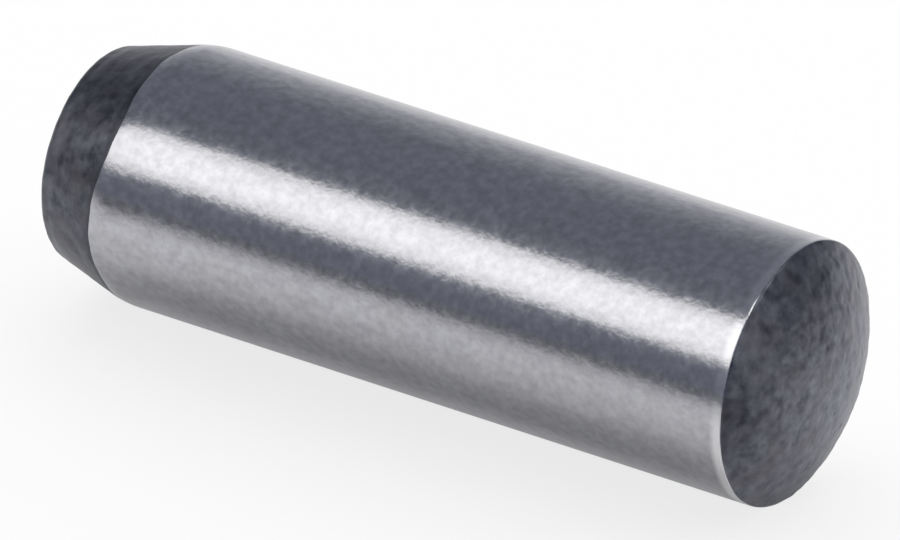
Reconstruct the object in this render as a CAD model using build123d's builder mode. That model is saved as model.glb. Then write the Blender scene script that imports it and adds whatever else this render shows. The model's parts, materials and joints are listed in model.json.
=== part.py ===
from build123d import *

import os
from math import radians, sqrt, tan

# Catch pin: one piece of hardened steel, turned from bar and ground on its shank.
# The head end is crowned. The lead end, which enters the hole first, has a long
# slim cone and a crowned tip with a rounded nose.
# Frame, in millimetres: +X along the pin's axis towards the head, +Z up, with the
# origin on the axis at half of the overall length.

# Whole pin
pin_diameter = 10.0
pin_length = 32.0

# Lead end: the cone's angle is in degrees from the axis, and its length runs from the
# corner with the shank to the corner with the tip, before the two are rounded
lead_angle = 16.0
lead_length = 3.25
lead_crown_radius = 14.0
lead_blend_radius = 3.0
nose_radius = 0.3

# Head end: a crown with a finely broken rim
head_crown_radius = 8.5
rim_radius = 0.2


def crown_height(crown_radius, edge_radius):
    """How far a spherical crown stands out from the circle where it starts."""
    return crown_radius - sqrt(crown_radius**2 - edge_radius**2)


# Corners of the half section, in the plane of the axis
shank_radius = pin_diameter / 2
nose_corner_radius = shank_radius - lead_length * tan(radians(lead_angle))

head_apex_x = pin_length / 2
rim_x = head_apex_x - crown_height(head_crown_radius, shank_radius)
lead_apex_x = -pin_length / 2
nose_corner_x = lead_apex_x + crown_height(lead_crown_radius, nose_corner_radius)
lead_start_x = nose_corner_x + lead_length

head_apex = (head_apex_x, 0)
rim = (rim_x, shank_radius)
lead_start = (lead_start_x, shank_radius)
nose_corner = (nose_corner_x, nose_corner_radius)
lead_apex = (lead_apex_x, 0)

with BuildPart() as catch_pin:
    with BuildSketch(Plane.XZ) as half_section:
        with BuildLine():
            Line(lead_apex, head_apex)
            RadiusArc(head_apex, rim, -head_crown_radius)
            Polyline(rim, lead_start, nose_corner)
            RadiusArc(nose_corner, lead_apex, -lead_crown_radius)
        make_face()
        # Round the three corners that the tool turns, each found where it was drawn
        fillet(half_section.vertices().sort_by_distance(rim)[0], rim_radius)
        fillet(half_section.vertices().sort_by_distance(lead_start)[0], lead_blend_radius)
        fillet(half_section.vertices().sort_by_distance(nose_corner)[0], nose_radius)
    revolve(axis=Axis.X)

catch_pin.part.label = "catch_pin"

os.makedirs("parts", exist_ok=True)
export_step(catch_pin.part, "parts/catch_pin.step")
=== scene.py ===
import json
import math
from typing import NamedTuple

import bpy
import numpy as np
from mathutils import Matrix, Vector, noise


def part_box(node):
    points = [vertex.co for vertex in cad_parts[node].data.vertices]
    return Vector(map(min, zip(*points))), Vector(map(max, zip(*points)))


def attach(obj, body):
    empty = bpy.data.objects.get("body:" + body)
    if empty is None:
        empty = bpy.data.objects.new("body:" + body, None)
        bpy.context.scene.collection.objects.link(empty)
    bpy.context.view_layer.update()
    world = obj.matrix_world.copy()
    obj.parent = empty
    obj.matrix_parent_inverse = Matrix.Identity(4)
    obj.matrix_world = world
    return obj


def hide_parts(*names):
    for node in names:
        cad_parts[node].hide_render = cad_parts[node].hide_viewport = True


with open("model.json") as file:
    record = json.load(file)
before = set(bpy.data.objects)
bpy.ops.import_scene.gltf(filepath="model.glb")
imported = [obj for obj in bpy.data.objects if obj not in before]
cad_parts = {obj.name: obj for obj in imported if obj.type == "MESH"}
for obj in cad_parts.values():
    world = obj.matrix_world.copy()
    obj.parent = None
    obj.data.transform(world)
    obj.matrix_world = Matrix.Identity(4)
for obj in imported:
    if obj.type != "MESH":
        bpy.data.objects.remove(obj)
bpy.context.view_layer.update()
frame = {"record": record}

MM = 0.001
NODE = "catch_pin"
BODY = "root"

# The pin's section. Its length and the shank's radius come from the frame.
LOW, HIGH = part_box(NODE)
HEAD_APEX = HIGH.x
LEAD_APEX = LOW.x
FLOOR_LEVEL = LOW.z
SHANK_RADIUS = frame["record"]["mounts"][0]["dims"]["r_mm"] * MM
LEAD_ANGLE = math.radians(16)
LEAD_LENGTH = 3.25 * MM
LEAD_CROWN = 14 * MM
LEAD_BLEND = 3 * MM
NOSE_ROUND = 0.3 * MM
HEAD_CROWN = 8.5 * MM
RIM_ROUND = 0.2 * MM

# The turned lead stands off the ground shank's axis by this much along Y and Z
LEAD_OFFSET = (-0.09 * MM, -0.02 * MM)

# The mesh: the points of one ring, and the largest gap between rings on each kind of stretch
SEGMENTS = 256
CROWN_STEP = 0.07 * MM
RIM_STEP = 0.014 * MM
SHANK_STEP = 0.5 * MM
LEAD_STEP = 0.05 * MM
NOSE_STEP = 0.025 * MM

# Noise in the mesh: each octave is half as large and half as strong as the one before
OCTAVE_RATIO = 2.0
OCTAVE_FALL = 1.0
WANDER_OCTAVES = 2
LUMP_OCTAVES = 3


class Edge(NamedTuple):
    """An edge of the ground steel, at a share of a stretch of the section.

    Round the pin it swings in lobes and wanders more finely, and rings within its reach go along.
    """

    stretch: str
    share: float
    lobe: float
    wander: float
    reach: float


HEAD_EDGE = Edge("rim", share=0.6, lobe=0, wander=0.02 * MM, reach=0.06 * MM)
LEAD_EDGE = Edge("blend", share=0.77, lobe=0.15 * MM, wander=0.06 * MM, reach=0.35 * MM)
LOBES = 4
LOBE_AT = math.radians(2)
WANDER_PITCH = 1.1 * MM


class Relief(NamedTuple):
    """Heights of an unground end's soft lumps, small pits and turning marks."""

    lumps: float
    pits: float
    marks: float


HEAD_RELIEF = Relief(lumps=0.022 * MM, pits=0.03 * MM, marks=0.001 * MM)
LEAD_RELIEF = Relief(lumps=0.012 * MM, pits=0.012 * MM, marks=0.003 * MM)
RELIEF_FADE = 0.12 * MM
LUMP_SIZE = 0.5 * MM
PIT_SPACING = 0.55 * MM
PIT_SHARE = 0.35
MARK_PITCH = 0.16 * MM


class Grain(NamedTuple):
    """A noise in a material: the sizes of its features along X, Y and Z, and its finer octaves."""

    sizes: tuple
    detail: float


# What all grains share: the strength of the finer octaves, and the range where most values lie
GRAIN_ROUGHNESS = 0.55
GRAIN_LOW = 0.3
GRAIN_HIGH = 0.7

# Finish of the ground steel: a mottle in its tone and gloss, faint clouds, and fine lines round the pin
GROUND_MOTTLE = Grain((0.34 * MM,) * 3, detail=2)
GROUND_DARK = (0.408, 0.409, 0.439, 1)
GROUND_LIGHT = (0.54, 0.542, 0.577, 1)
GROUND_ROUGHNESS = (0.215, 0.265)
MOTTLE_DEPTH = 0.008 * MM
GROUND_CLOUDS = Grain((3 * MM,) * 3, detail=2)
CLOUD_COLOR = (0.42, 0.41, 0.43, 1)
CLOUD_SHARE = 0.25
GROUND_LINES = Grain((0.03 * MM, 2.5 * MM, 2.5 * MM), detail=4)
LINE_DEPTH = 0.0006 * MM
ANISOTROPY = 0.6
ANISOTROPY_TURN = 0.25

# The strip beside the rim: burnished, and painted lighter underneath as a painted highlight. The turn is in
# shares of the shank's radius.
BURNISH_AND_HIGHLIGHT = (0.9, 0.9, 0.92, 1)
RIM_STRIP_WIDTH = 0.36 * MM
RIM_STRIP_FADE = 0.12 * MM
RIM_STRIP_BELOW = 0.95
RIM_STRIP_ABOVE = 0.3
RIM_STRIP_TURN_SHARES = (-0.3, 0.1)

# Finish of the dark skin: a mottle in its tone and gloss, brown patches and fine specks
SKIN_MOTTLE = Grain((0.5 * MM,) * 3, detail=3)
SKIN_DARK = (0.08, 0.087, 0.115)
SKIN_LIGHT = (0.24, 0.252, 0.29)
SKIN_ROUGHNESS_SWING = 0.06
SKIN_PATCHES = Grain((1.2 * MM,) * 3, detail=2)
SKIN_BROWN = (0.165, 0.15, 0.16)
BROWN_SHARE = 0.5
SKIN_SPECKS = Grain((0.09 * MM,) * 3, detail=3)
SPECK_DEPTH = 0.003 * MM
# The same skin on both ends, lighter on the head and darker on the lead as painted light and shade
HEAD_PAINTED_LIGHT = 1.15
HEAD_ROUGHNESS = 0.38
LEAD_PAINTED_SHADE = 0.72
LEAD_ROUGHNESS = 0.4

# Along the lead: a dark band of painted shade that fades away from the ground edge, and worn patches just
# before the nose
LEAD_SHADOW = (0.045, 0.045, 0.055, 1)
LEAD_SHADOW_SHARE = 0.5
LEAD_SHADOW_FADE = (0.1 * MM, 0.35 * MM)
NOSE_WORN = (0.24, 0.245, 0.265, 1)
NOSE_WORN_SHARE = 0.6
NOSE_WORN_BAND = (-0.55 * MM, -0.2 * MM)
NOSE_WORN_SOFT = 0.18 * MM
WORN_PATCHES = Grain((0.8 * MM,) * 3, detail=3)

# Camera, found from the pin's outline in the photograph. Lens and sensor are in millimetres, the clip
# end in metres.
CAMERA_AZIMUTH = math.radians(32.95)
CAMERA_ELEVATION = math.radians(29.74)
CAMERA_DISTANCE = 813.1 * MM
CAMERA_RIGHT = -0.301 * MM
CAMERA_UP = -0.156 * MM
CAMERA_LENS = 900
SENSOR_WIDTH = 36
CLIP_END = 20

# The sheet under the pin, and the share of plain white that the camera sees in it
WHITE = (1, 1, 1, 1)
FLOOR_COLOR = (0.9, 0.9, 0.9, 1)
FLOOR_REACH = 450 * MM
FLOOR_GLOW_SEEN = 0.78

# The sheet as the steel mirrors it: a smaller share of white, with painted light close under the pin, and
# painted shade in front, on the right, behind, in a strip beside the pin and round one spot
FLOOR_GLOW_MIRRORED = 0.1
FLOOR_GLOW_UNDER = 0.2
UNDER_REACH = 3.6 * MM
UNDER_END = (12.5 * MM, 15 * MM)
FLOOR_SHADE = (0.07, 0.075, 0.09, 1)
SHADE_FRONT = (-50 * MM, -16 * MM)
SHADE_RIGHT = (18 * MM, 72 * MM)
SHADE_BACK = (10 * MM, 90 * MM)
SHADE_BACK_SHARE = 0.3
SHADE_BESIDE = (-6.8 * MM, -4.6 * MM)
SHADE_BESIDE_SHARE = 0.17
SHADE_SPOT = (30 * MM, -12 * MM, 0)
SHADE_SPOT_REACH = (9 * MM, 18 * MM)
STRIP_SOFT = 0.7 * MM

# The light that falls on the sheet, most of it from behind and a little from the left. The turn is in
# parts of a direction of length 1.
FILL_WAY = (-0.4, 0.92, 0)
FILL_TURN = (-0.5, 0.5)
FILL_LEAST = (0.22, 0.22, 0.22, 1)
FILL_MOST = (1.96, 1.96, 1.96, 1)


class Softbox(NamedTuple):
    """A soft light that runs along the pin.

    It spans from low to high in degrees above the front horizon and from left to right in mm along X.
    Its low and high edges lose a share of its strength.
    """

    low: float
    high: float
    left: float
    right: float
    strength: float
    edge_loss: float


SOFTBOXES = {
    "front_softbox": Softbox(low=23.9, high=63.6, left=-430, right=40, strength=1.94, edge_loss=0.3),
    "top_softbox": Softbox(low=68, high=80, left=10, right=170, strength=3.0, edge_loss=0),
    "right_softbox": Softbox(low=48, high=68, left=330, right=600, strength=1.7, edge_loss=0.3),
    "back_softbox": Softbox(low=96, high=118, left=180, right=420, strength=1.8, edge_loss=0.3),
}
SOFTBOX_DISTANCE = 300 * MM
SOFTBOX_COLOR = (1, 0.995, 0.975, 1)


class Panel(NamedTuple):
    """A dim panel between two opposite corners, its colour, and the share of white at its foot."""

    start: tuple
    end: tuple
    color: tuple
    foot_share: float


# Dim panels in front of the pin, above it and behind it, which the steel mirrors. The two behind meet at
# the split. The white background shows at the open ends and in a gap under the panel behind on the left.
PANEL_REACH = 430 * MM
PANEL_SIDE = 2400 * MM
PANEL_SPLIT = -22 * MM
PANEL_GAP = 20 * MM
PANEL_FALL = 1.4
PANELS = {
    "front_panel": Panel(
        start=(-PANEL_SIDE, -PANEL_REACH, FLOOR_LEVEL),
        end=(PANEL_SIDE, -PANEL_REACH, PANEL_REACH),
        color=(0.199, 0.215, 0.265, 1),
        foot_share=0,
    ),
    "top_panel": Panel(
        start=(-PANEL_SIDE, -PANEL_REACH, PANEL_REACH),
        end=(PANEL_SIDE, PANEL_REACH, PANEL_REACH),
        color=(0.154, 0.167, 0.208, 1),
        foot_share=0,
    ),
    "back_left_panel": Panel(
        start=(-PANEL_SIDE, PANEL_REACH, PANEL_GAP),
        end=(PANEL_SPLIT, PANEL_REACH, PANEL_REACH),
        color=(0.164, 0.178, 0.221, 1),
        foot_share=0.47,
    ),
    "back_right_panel": Panel(
        start=(PANEL_SPLIT, PANEL_REACH, FLOOR_LEVEL),
        end=(PANEL_SIDE, PANEL_REACH, PANEL_REACH),
        color=(0.141, 0.152, 0.188, 1),
        foot_share=0,
    ),
}


def polar(centre, radius, angle):
    """The point at an angle on a circle."""
    return np.array(centre) + radius * np.array((math.cos(angle), math.sin(angle)))


def arc(centre, radius, start, end, step):
    """Points along an arc, from one angle to another."""
    count = math.ceil(abs(end - start) * radius / step) + 1
    return [polar(centre, radius, angle) for angle in np.linspace(start, end, count)]


def line(start, end, step):
    """Points along a straight stretch."""
    count = math.ceil(np.linalg.norm(np.subtract(end, start)) / step) + 1
    return list(np.linspace(start, end, count))


def section():
    """The stretches of the pin's half section from head to lead, as points (place along X, radius)."""
    square = math.pi / 2
    head = (HEAD_APEX - HEAD_CROWN, 0)
    rim_height = SHANK_RADIUS - RIM_ROUND
    rim = (head[0] + math.sqrt((HEAD_CROWN - RIM_ROUND) ** 2 - rim_height**2), rim_height)
    rim_angle = math.atan2(rim[1], rim[0] - head[0])

    tip = np.array((LEAD_APEX + LEAD_CROWN, 0))
    corner_radius = SHANK_RADIUS - LEAD_LENGTH * math.tan(LEAD_ANGLE)
    corner_x = tip[0] - math.sqrt(LEAD_CROWN**2 - corner_radius**2)
    cone_start = (corner_x + LEAD_LENGTH, SHANK_RADIUS)
    blend = (cone_start[0] + LEAD_BLEND * math.tan(LEAD_ANGLE / 2), SHANK_RADIUS - LEAD_BLEND)
    cone_angle = square + LEAD_ANGLE

    # The nose's centre lies one rounding inside both the cone and the tip's crown
    cone_way = np.array((-math.cos(LEAD_ANGLE), -math.sin(LEAD_ANGLE)))
    inside = polar(cone_start, -NOSE_ROUND, cone_angle)
    from_tip = inside - tip
    along = from_tip @ cone_way
    reach = math.sqrt(along**2 - from_tip @ from_tip + (LEAD_CROWN - NOSE_ROUND) ** 2) - along
    nose = inside + reach * cone_way
    nose_angle = math.atan2(nose[1], nose[0] - tip[0])

    cone_from = polar(blend, LEAD_BLEND, cone_angle)
    cone_to = polar(nose, NOSE_ROUND, cone_angle)
    return {
        "head": arc(head, HEAD_CROWN, 0, rim_angle, CROWN_STEP),
        "rim": arc(rim, RIM_ROUND, rim_angle, square, RIM_STEP),
        "shank": line((rim[0], SHANK_RADIUS), (blend[0], SHANK_RADIUS), SHANK_STEP),
        "blend": arc(blend, LEAD_BLEND, square, cone_angle, LEAD_STEP),
        "cone": line(cone_from, cone_to, LEAD_STEP),
        "nose": arc(nose, NOSE_ROUND, cone_angle, nose_angle, NOSE_STEP),
        "tip": arc(tip, LEAD_CROWN, nose_angle, math.pi, CROWN_STEP),
    }


class Rings:
    """The section as one row of points, with the station of each point and of each stretch's ends."""

    def __init__(self, stretches):
        points, firsts = [], {}
        for name, stretch in stretches.items():
            firsts[name] = max(len(points) - 1, 0)
            points += stretch[1:] if points else stretch
        self.points = np.array(points)
        steps = np.linalg.norm(np.diff(self.points, axis=0), axis=1)
        self.stations = np.concatenate(([0], np.cumsum(steps)))
        starts = [self.stations[first] for first in firsts.values()]
        ends = starts[1:] + [self.stations[-1]]
        self.span = dict(zip(firsts, zip(starts, ends)))
        way = np.gradient(self.points, self.stations, axis=0)
        self.normals = np.stack((way[:, 1], -way[:, 0]), axis=1)
        self.head_ring = self.nearest(HEAD_EDGE)
        self.lead_ring = self.nearest(LEAD_EDGE)

    def nearest(self, edge):
        """The number of the ring nearest to an edge."""
        start, end = self.span[edge.stretch]
        return int(np.argmin(abs(self.stations - start - edge.share * (end - start))))


def ramp(values, start, end):
    """0 up to start, 1 from end on, straight between them."""
    return np.clip((values - start) / (end - start), 0, 1)


def wander(angles, edge):
    """How far an edge wanders along the section at each angle round the pin."""
    turns = SHANK_RADIUS / WANDER_PITCH
    spots = [(turns * math.cos(angle), turns * math.sin(angle), edge.share) for angle in angles]
    fine = [noise.fractal(spot, OCTAVE_FALL, OCTAVE_RATIO, WANDER_OCTAVES) for spot in spots]
    return edge.lobe * np.cos(LOBES * (angles - LOBE_AT)) + edge.wander * np.array(fine)


def skin_height(relief, place, station):
    """Height of the unground skin over the true form."""
    lumps = relief.lumps * noise.fractal(place / LUMP_SIZE, OCTAVE_FALL, OCTAVE_RATIO, LUMP_OCTAVES)
    from_pit = noise.voronoi(place / PIT_SPACING)[0][0]
    pits = relief.pits * max(0.0, 1 - from_pit / PIT_SHARE) ** 2
    marks = relief.marks * noise.noise((station / MARK_PITCH, 0.0, 0.0))
    return lumps - pits + marks


def ring_points(rings):
    """The place of every point of every ring."""
    head_station = rings.stations[rings.head_ring]
    lead_station = rings.stations[rings.lead_ring]
    angles = np.linspace(0, 2 * math.pi, SEGMENTS, endpoint=False)
    stations = np.repeat(rings.stations[:, None], SEGMENTS, axis=1)
    for edge, station in ((HEAD_EDGE, head_station), (LEAD_EDGE, lead_station)):
        near = np.exp(-(((rings.stations - station) / edge.reach) ** 2))
        stations += near[:, None] * wander(angles, edge)

    def along(values):
        return np.interp(stations, rings.stations, values)

    x, radius = along(rings.points[:, 0]), along(rings.points[:, 1])
    lean, rise = along(rings.normals[:, 0]), along(rings.normals[:, 1])
    head_cover = ramp(head_station - rings.stations, 0, RELIEF_FADE)
    lead_cover = ramp(rings.stations - lead_station, 0, RELIEF_FADE)
    for relief, cover in ((HEAD_RELIEF, head_cover), (LEAD_RELIEF, lead_cover)):
        for i in np.nonzero(cover)[0]:
            for j, angle in enumerate(angles):
                y, z = radius[i, j] * math.cos(angle), radius[i, j] * math.sin(angle)
                height = cover[i] * skin_height(relief, Vector((x[i, j], y, z)), stations[i, j])
                x[i, j] += height * lean[i, j]
                radius[i, j] += height * rise[i, j]

    # Off the axis, the cone's start slides along the shank and its nose moves across
    stand_off = LEAD_OFFSET[0] * np.cos(angles) + LEAD_OFFSET[1] * np.sin(angles)
    slide = ramp(stations, *rings.span["shank"])
    shift = ramp(stations, *rings.span["cone"])
    x -= slide * (1 - shift) * stand_off / math.tan(LEAD_ANGLE)
    y = radius * np.cos(angles) + shift * LEAD_OFFSET[0]
    z = radius * np.sin(angles) + shift * LEAD_OFFSET[1]
    return np.stack((x, y, z), axis=2)


def ring_faces(count):
    """Faces over that many rings of points: quads between them, then a fan to the point at each apex."""
    numbers = 1 + np.arange(count * SEGMENTS).reshape(count, SEGMENTS)
    following = np.roll(numbers, -1, axis=1)
    quads = np.stack((numbers[:-1], numbers[1:], following[1:], following[:-1]), axis=2)
    head_apex, lead_apex = 0, 1 + count * SEGMENTS
    head_fan = [(head_apex, a, b) for a, b in zip(numbers[0], following[0])]
    lead_fan = [(lead_apex, b, a) for a, b in zip(numbers[-1], following[-1])]
    return [*map(tuple, quads.reshape(-1, 4)), *head_fan, *lead_fan]


def make_pin():
    """The pin's fine mesh, which stands for the solid and carries its three finishes."""
    rings = Rings(section())
    places = ring_points(rings)
    inner = places[1:-1]
    count = len(inner)
    points = [places[0].mean(axis=0), *inner.reshape(-1, 3), places[-1].mean(axis=0)]
    mesh = bpy.data.meshes.new("pin_surface")
    mesh.from_pydata(points, [], ring_faces(count))

    for material in (head_skin(), ground_steel(rings), lead_skin(rings)):
        mesh.materials.append(material)
    ring_of_face = np.repeat([*range(1, count), 0, count], SEGMENTS)
    finish = np.searchsorted((rings.head_ring, rings.lead_ring), ring_of_face, side="right")
    mesh.polygons.foreach_set("material_index", finish.astype(np.int32))
    points_of_ring = [1, *[SEGMENTS] * count, 1]
    stations = np.repeat(rings.stations, points_of_ring).astype(np.float32)
    mesh.attributes.new("station", "FLOAT", "POINT").data.foreach_set("value", stations)
    mesh.shade_smooth()

    pin = bpy.data.objects.new("pin_surface", mesh)
    bpy.context.collection.objects.link(pin)
    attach(pin, BODY)
    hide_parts(NODE)


def node(tree, kind, inputs=None, **settings):
    """A new node with its settings, each input joined to a socket or set to a value."""
    made = tree.nodes.new(kind)
    for key, value in settings.items():
        setattr(made, key, value)
    for key, value in (inputs or {}).items():
        if isinstance(value, bpy.types.NodeSocket):
            tree.links.new(value, made.inputs[key])
        else:
            made.inputs[key].default_value = value
    return made


def new_material(name):
    """A material with an empty node tree and its output."""
    material = bpy.data.materials.new(name)
    material.use_nodes = True
    material.node_tree.nodes.clear()
    return material, material.node_tree, node(material.node_tree, "ShaderNodeOutputMaterial")


def object_place(tree):
    """The place on the object, as one vector."""
    return node(tree, "ShaderNodeTexCoord").outputs["Object"]


def split(tree, vector):
    """A vector's parts along X, Y and Z."""
    return node(tree, "ShaderNodeSeparateXYZ", {0: vector}).outputs


def station_value(tree):
    """The station along the section, which the mesh carries."""
    return node(tree, "ShaderNodeAttribute", attribute_name="station").outputs["Fac"]


def math_node(tree, operation, first, second):
    """One step of arithmetic on two values."""
    return node(tree, "ShaderNodeMath", {0: first, 1: second}, operation=operation).outputs[0]


def grain_value(tree, place, grain):
    """The value of a grain at a place."""
    scaled = node(tree, "ShaderNodeVectorMath", {0: place, 1: grain.sizes}, operation="DIVIDE")
    inputs = {
        "Vector": scaled.outputs[0],
        "Scale": 1.0,
        "Detail": grain.detail,
        "Roughness": GRAIN_ROUGHNESS,
    }
    return node(tree, "ShaderNodeTexNoise", inputs).outputs["Fac"]


def spread(tree, value, low, high, start=GRAIN_LOW, end=GRAIN_HIGH):
    """A value carried from one range to another, by default from a grain's usual one."""
    inputs = {"Value": value, "From Min": start, "From Max": end, "To Min": low, "To Max": high}
    return node(tree, "ShaderNodeMapRange", inputs).outputs["Result"]


def band(tree, value, start, end, soft):
    """1 between start and end, 0 outside, with soft sides."""
    rise = spread(tree, value, 0, 1, start - soft, start + soft)
    fall = spread(tree, value, 1, 0, end - soft, end + soft)
    return math_node(tree, "MULTIPLY", rise, fall)


def mix_color(tree, share, first, second):
    """Two colours mixed, with a share of the second."""
    inputs = {"Factor": share, "A": first, "B": second}
    return node(tree, "ShaderNodeMix", inputs, data_type="RGBA").outputs["Result"]


def bump(tree, height, depth, normal=None):
    """A bump whose full range is depth metres."""
    inputs = {"Height": height, "Distance": depth, "Strength": 1.0}
    if normal:
        inputs["Normal"] = normal
    return node(tree, "ShaderNodeBump", inputs).outputs["Normal"]


def surface(tree, output, inputs):
    """The surface's one shader, joined to the material's output."""
    shader = node(tree, "ShaderNodeBsdfPrincipled", inputs)
    tree.links.new(shader.outputs["BSDF"], output.inputs["Surface"])


def burnish_and_highlight(tree, rings, place):
    """1 where the steel is burnished and painted lighter: in a strip beside the rim, most underneath as a
    painted highlight.
    """
    end = rings.stations[rings.head_ring] + RIM_STRIP_WIDTH
    strip = spread(tree, station_value(tree), 1, 0, end - RIM_STRIP_FADE, end + RIM_STRIP_FADE)
    turn = [share * SHANK_RADIUS for share in RIM_STRIP_TURN_SHARES]
    # Painted highlight: the strip is made lighter underneath than on top
    underneath = spread(tree, split(tree, place)["Z"], RIM_STRIP_BELOW, RIM_STRIP_ABOVE, *turn)
    return math_node(tree, "MULTIPLY", underneath, strip)


def ground_steel(rings):
    """Bright steel from the grinder, mottled, with fine lines round the pin and a burnished strip that is
    partly a painted highlight.
    """
    material, tree, output = new_material("ground_steel")
    place = object_place(tree)
    mottle = grain_value(tree, place, GROUND_MOTTLE)
    clouds = grain_value(tree, place, GROUND_CLOUDS)
    lines = grain_value(tree, place, GROUND_LINES)
    color = mix_color(tree, spread(tree, mottle, 0, 1), GROUND_DARK, GROUND_LIGHT)
    color = mix_color(tree, spread(tree, clouds, 0, CLOUD_SHARE), color, CLOUD_COLOR)
    around = node(tree, "ShaderNodeTangent", direction_type="RADIAL", axis="X")
    inputs = {
        "Base Color": mix_color(tree, burnish_and_highlight(tree, rings, place), color, BURNISH_AND_HIGHLIGHT),
        "Metallic": 1.0,
        "Roughness": spread(tree, mottle, *GROUND_ROUGHNESS),
        "Anisotropic": ANISOTROPY,
        "Anisotropic Rotation": ANISOTROPY_TURN,
        "Tangent": around.outputs["Tangent"],
        "Normal": bump(tree, lines, LINE_DEPTH, bump(tree, mottle, MOTTLE_DEPTH)),
    }
    surface(tree, output, inputs)
    return material


def dark_skin(tree, place, tone, roughness):
    """Colour, roughness and bump of the skin that hardening leaves: dark, rough and mottled."""
    mottle = grain_value(tree, place, SKIN_MOTTLE)
    specks = grain_value(tree, place, SKIN_SPECKS)
    patches = grain_value(tree, place, SKIN_PATCHES)

    def toned(color):
        return (*(tone * part for part in color), 1)

    color = mix_color(tree, spread(tree, mottle, 0, 1), toned(SKIN_DARK), toned(SKIN_LIGHT))
    smoothest, roughest = roughness - SKIN_ROUGHNESS_SWING, roughness + SKIN_ROUGHNESS_SWING
    return {
        "Base Color": mix_color(tree, spread(tree, patches, 0, BROWN_SHARE), color, toned(SKIN_BROWN)),
        "Metallic": 1.0,
        "Roughness": spread(tree, mottle, smoothest, roughest),
        "Normal": bump(tree, specks, SPECK_DEPTH),
    }


def head_skin():
    """The crowned head's skin, with painted light that makes it lighter than the lead's."""
    material, tree, output = new_material("head_skin")
    surface(tree, output, dark_skin(tree, object_place(tree), HEAD_PAINTED_LIGHT, HEAD_ROUGHNESS))
    return material


def lead_skin(rings):
    """The lead's skin, painted darker than the head's: darkest beside the ground edge in a band of painted
    shade, and worn lighter in patches near the nose.
    """
    material, tree, output = new_material("lead_skin")
    place = object_place(tree)
    station = station_value(tree)
    inputs = dark_skin(tree, place, LEAD_PAINTED_SHADE, LEAD_ROUGHNESS)
    edge = rings.stations[rings.lead_ring]
    fade = [edge + distance for distance in LEAD_SHADOW_FADE]
    # Painted shade: the skin is darkened in a band beside the ground edge
    shadow = spread(tree, station, LEAD_SHADOW_SHARE, 0, *fade)
    color = mix_color(tree, shadow, inputs["Base Color"], LEAD_SHADOW)
    nose = rings.span["nose"][0]
    worn_span = [nose + distance for distance in NOSE_WORN_BAND]
    patches = spread(tree, grain_value(tree, place, WORN_PATCHES), 0, NOSE_WORN_SHARE)
    worn = math_node(tree, "MULTIPLY", band(tree, station, *worn_span, NOSE_WORN_SOFT), patches)
    inputs["Base Color"] = mix_color(tree, worn, color, NOSE_WORN)
    surface(tree, output, inputs)
    return material


def stage_plane(name, corners, material):
    """A flat piece of the studio, which is no part of the pin."""
    mesh = bpy.data.meshes.new(name)
    mesh.from_pydata(corners, [], [range(len(corners))])
    mesh.materials.append(material)
    plane = bpy.data.objects.new(name, mesh)
    bpy.context.collection.objects.link(plane)
    return plane


def ray_kinds(tree):
    """Two values: 1 for rays of the camera and through glass, and 1 for rays that a gloss mirrors."""
    path = node(tree, "ShaderNodeLightPath").outputs
    seen = math_node(tree, "MAXIMUM", path["Is Camera Ray"], path["Is Transmission Ray"])
    return seen, path["Is Glossy Ray"]


def floor_glow(tree, parts, seen, mirrored):
    """The sheet's share of plain white, for each kind of ray, with painted light close under the pin for
    the steel.
    """
    # Painted light: a strip close under the pin glows brighter for rays that the steel mirrors
    under = band(tree, parts["Y"], -UNDER_REACH, UNDER_REACH, STRIP_SOFT)
    under = math_node(tree, "MULTIPLY", under, spread(tree, parts["X"], 1, 0, *UNDER_END))
    most = FLOOR_GLOW_MIRRORED + FLOOR_GLOW_UNDER
    in_steel = spread(tree, under, FLOOR_GLOW_MIRRORED, most, 0, 1)
    in_steel = math_node(tree, "MULTIPLY", in_steel, mirrored)
    return math_node(tree, "ADD", math_node(tree, "MULTIPLY", seen, FLOOR_GLOW_SEEN), in_steel)


def floor_shade(tree, place, parts):
    """The shade painted on the sheet, which only the steel mirrors: at each place the deepest of all
    shades.
    """
    from_spot = node(tree, "ShaderNodeVectorMath", {0: place, 1: SHADE_SPOT}, operation="DISTANCE")
    beside = band(tree, parts["Y"], *SHADE_BESIDE, STRIP_SOFT)
    deepest = spread(tree, parts["Y"], 1, 0, *SHADE_FRONT)
    others = (
        spread(tree, parts["X"], 0, 1, *SHADE_RIGHT),
        spread(tree, parts["Y"], 0, SHADE_BACK_SHARE, *SHADE_BACK),
        spread(tree, from_spot.outputs["Value"], 1, 0, *SHADE_SPOT_REACH),
        math_node(tree, "MULTIPLY", beside, SHADE_BESIDE_SHARE),
    )
    for shade in others:
        deepest = math_node(tree, "MAXIMUM", deepest, shade)
    return deepest


def make_floor():
    """A plain pale sheet under the pin. The steel mirrors it with painted shade, which softens its light
    bands.
    """
    material, tree, output = new_material("pale_sheet")
    place = object_place(tree)
    parts = split(tree, place)
    seen, mirrored = ray_kinds(tree)
    share = floor_glow(tree, parts, seen, mirrored)
    # Painted shade on the sheet, only for rays that the steel mirrors
    shade = math_node(tree, "MULTIPLY", floor_shade(tree, place, parts), mirrored)
    color = mix_color(tree, shade, FLOOR_COLOR, FLOOR_SHADE)
    paper = node(tree, "ShaderNodeBsdfDiffuse", {"Color": color}).outputs["BSDF"]
    glow = node(tree, "ShaderNodeEmission", {"Color": WHITE, "Strength": 1.0}).outputs["Emission"]
    mixed = node(tree, "ShaderNodeMixShader", {0: share, 1: paper, 2: glow}).outputs["Shader"]
    tree.links.new(mixed, output.inputs["Surface"])
    square = ((-1, -1), (1, -1), (1, 1), (-1, 1))
    corners = [(x * FLOOR_REACH, y * FLOOR_REACH, 0) for x, y in square]
    sheet = stage_plane("pale_sheet", corners, material)
    sheet.location.z = FLOOR_LEVEL


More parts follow.
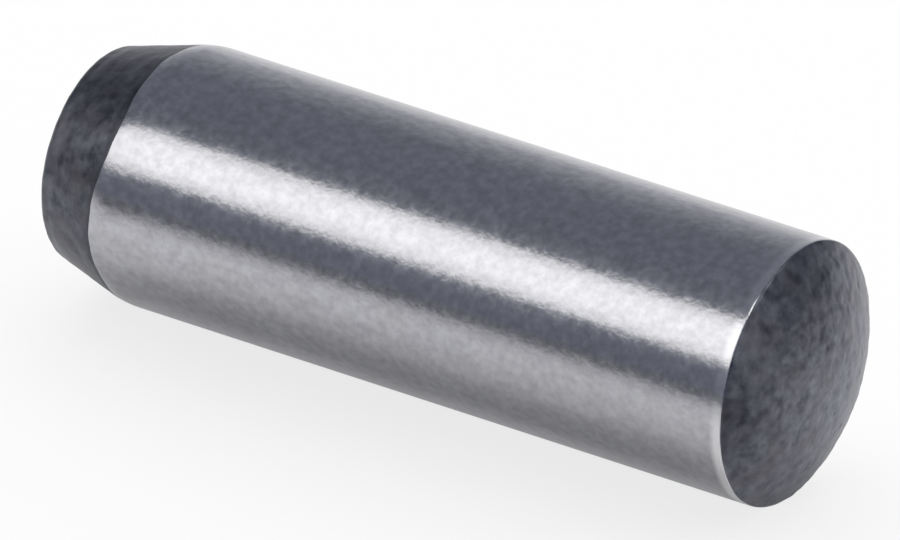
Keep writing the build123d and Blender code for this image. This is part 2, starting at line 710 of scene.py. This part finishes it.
def make_softbox(name, box):
    """A soft light that faces the pin's axis and runs along it. The camera and the sheet don't see it."""
    material, tree, output = new_material(name)
    place = node(tree, "ShaderNodeTexCoord").outputs["Generated"]
    off_middle = spread(tree, split(tree, place)["Z"], -1, 1, 0, 1)
    loss = math_node(tree, "POWER", off_middle, 2.0)
    strength = spread(tree, loss, box.strength, box.strength * (1 - box.edge_loss), 0, 1)
    glow = node(tree, "ShaderNodeEmission", {"Color": SOFTBOX_COLOR, "Strength": strength})
    tree.links.new(glow.outputs["Emission"], output.inputs["Surface"])

    reach = SOFTBOX_DISTANCE / math.cos(math.radians((box.high - box.low) / 2))
    angles = (math.radians(box.low), math.radians(box.high))
    low, high = ((-reach * math.cos(angle), reach * math.sin(angle)) for angle in angles)
    left, right = box.left * MM, box.right * MM
    corners = [(left, *low), (right, *low), (right, *high), (left, *high)]
    plane = stage_plane(name, corners, material)
    plane.visible_camera = False
    plane.visible_diffuse = False


def make_panel(name, panel):
    """A dim panel, lighter towards its foot by a share of white. Only rays that a gloss mirrors meet it."""
    material, tree, output = new_material(name)
    place = node(tree, "ShaderNodeTexCoord").outputs["Generated"]
    under_top = math_node(tree, "SUBTRACT", 1.0, split(tree, place)["Z"])
    light = math_node(tree, "POWER", under_top, PANEL_FALL)
    share = math_node(tree, "MULTIPLY", light, panel.foot_share)
    color = mix_color(tree, share, panel.color, WHITE)
    glow = node(tree, "ShaderNodeEmission", {"Color": color, "Strength": 1.0})
    tree.links.new(glow.outputs["Emission"], output.inputs["Surface"])
    (left, near, low), (right, far, high) = panel.start, panel.end
    corners = [(left, near, low), (right, near, low), (right, far, high), (left, far, high)]
    plane = stage_plane(name, corners, material)
    plane.visible_camera = False
    plane.visible_diffuse = False
    plane.visible_transmission = False
    plane.visible_shadow = False


def make_world():
    """The white background, for camera, glass and steel alike, and the light that falls on the sheet."""
    world = bpy.data.worlds.new("studio")
    bpy.context.scene.world = world
    world.use_nodes = True
    tree = world.node_tree
    tree.nodes.clear()
    way = node(tree, "ShaderNodeTexCoord").outputs["Generated"]
    seen, mirrored = ray_kinds(tree)
    to_fill = node(tree, "ShaderNodeVectorMath", {0: way, 1: FILL_WAY}, operation="DOT_PRODUCT")
    fill_share = spread(tree, to_fill.outputs["Value"], 0, 1, *FILL_TURN)
    fill = mix_color(tree, fill_share, FILL_LEAST, FILL_MOST)
    color = mix_color(tree, math_node(tree, "ADD", seen, mirrored), fill, WHITE)
    background = node(tree, "ShaderNodeBackground", {"Color": color, "Strength": 1.0})
    output = node(tree, "ShaderNodeOutputWorld")
    tree.links.new(background.outputs["Background"], output.inputs["Surface"])


def make_camera():
    """The photograph's view: from the front, above and to the head's side, with a long lens."""
    right = Vector((math.cos(CAMERA_AZIMUTH), math.sin(CAMERA_AZIMUTH), 0))
    level = Vector((math.sin(CAMERA_AZIMUTH), -math.cos(CAMERA_AZIMUTH), 0))
    back = level * math.cos(CAMERA_ELEVATION) + Vector((0, 0, math.sin(CAMERA_ELEVATION)))
    up = back.cross(right)
    place = right * CAMERA_RIGHT + up * CAMERA_UP + back * CAMERA_DISTANCE
    data = bpy.data.cameras.new("camera")
    data.lens = CAMERA_LENS
    data.sensor_width = SENSOR_WIDTH
    data.clip_end = CLIP_END
    camera = bpy.data.objects.new("camera", data)
    camera.matrix_world = Matrix.Translation(place) @ Matrix((right, up, back)).transposed().to_4x4()
    bpy.context.collection.objects.link(camera)
    bpy.context.scene.camera = camera


bpy.context.scene.view_settings.view_transform = "Standard"
make_pin()
make_floor()
for softbox_name, softbox in SOFTBOXES.items():
    make_softbox(softbox_name, softbox)
for panel_name, dim_panel in PANELS.items():
    make_panel(panel_name, dim_panel)
make_world()
make_camera()
